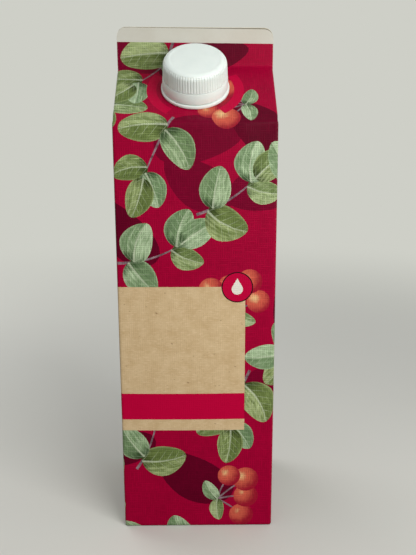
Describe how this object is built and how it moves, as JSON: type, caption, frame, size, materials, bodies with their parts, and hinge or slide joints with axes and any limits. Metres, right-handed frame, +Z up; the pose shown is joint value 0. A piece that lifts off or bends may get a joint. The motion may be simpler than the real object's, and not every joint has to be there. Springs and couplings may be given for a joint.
{
  "type": "hand soap refill carton",
  "caption": "Tall square gable-top paperboard carton of liquid soap, with a sealed top fin and a white ribbed screw cap over a tamper band on its sloping front roof panel.",
  "frame": {"origin": "centre of the square base, on the surface that the carton stands on", "axes": "+Z up the carton, -Y out of the front panel that the closure leans over, +X to the right seen from the front"},
  "size_m": [0.07, 0.0701, 0.2295],
  "materials": {
    "printed_board": "satin",
    "white_plastic": "satin"
  },
  "bodies": {
    "pack": {"carton": "printed_board", "spout": "white_plastic"},
    "band": {"tamper_band": "white_plastic"},
    "cap": {"screw_cap": "white_plastic"}
  },
  "joints": [
    {"name": "cap_turn", "type": "hinge", "parent": "pack", "child": "band", "pos_m": [0, -0.0157, 0.20352], "axis": [0, -0.5444, 0.8388], "range_deg": [0, 540]},
    {"name": "cap_lift", "type": "slide", "parent": "band", "child": "cap", "axis": [0, -0.5444, 0.8388], "range_m": [0, 0.0049]}
  ],
  "couplings": [
    {"joint": "cap_lift", "follows": "cap_turn", "m_per_rad": 0.0005093}
  ]
}
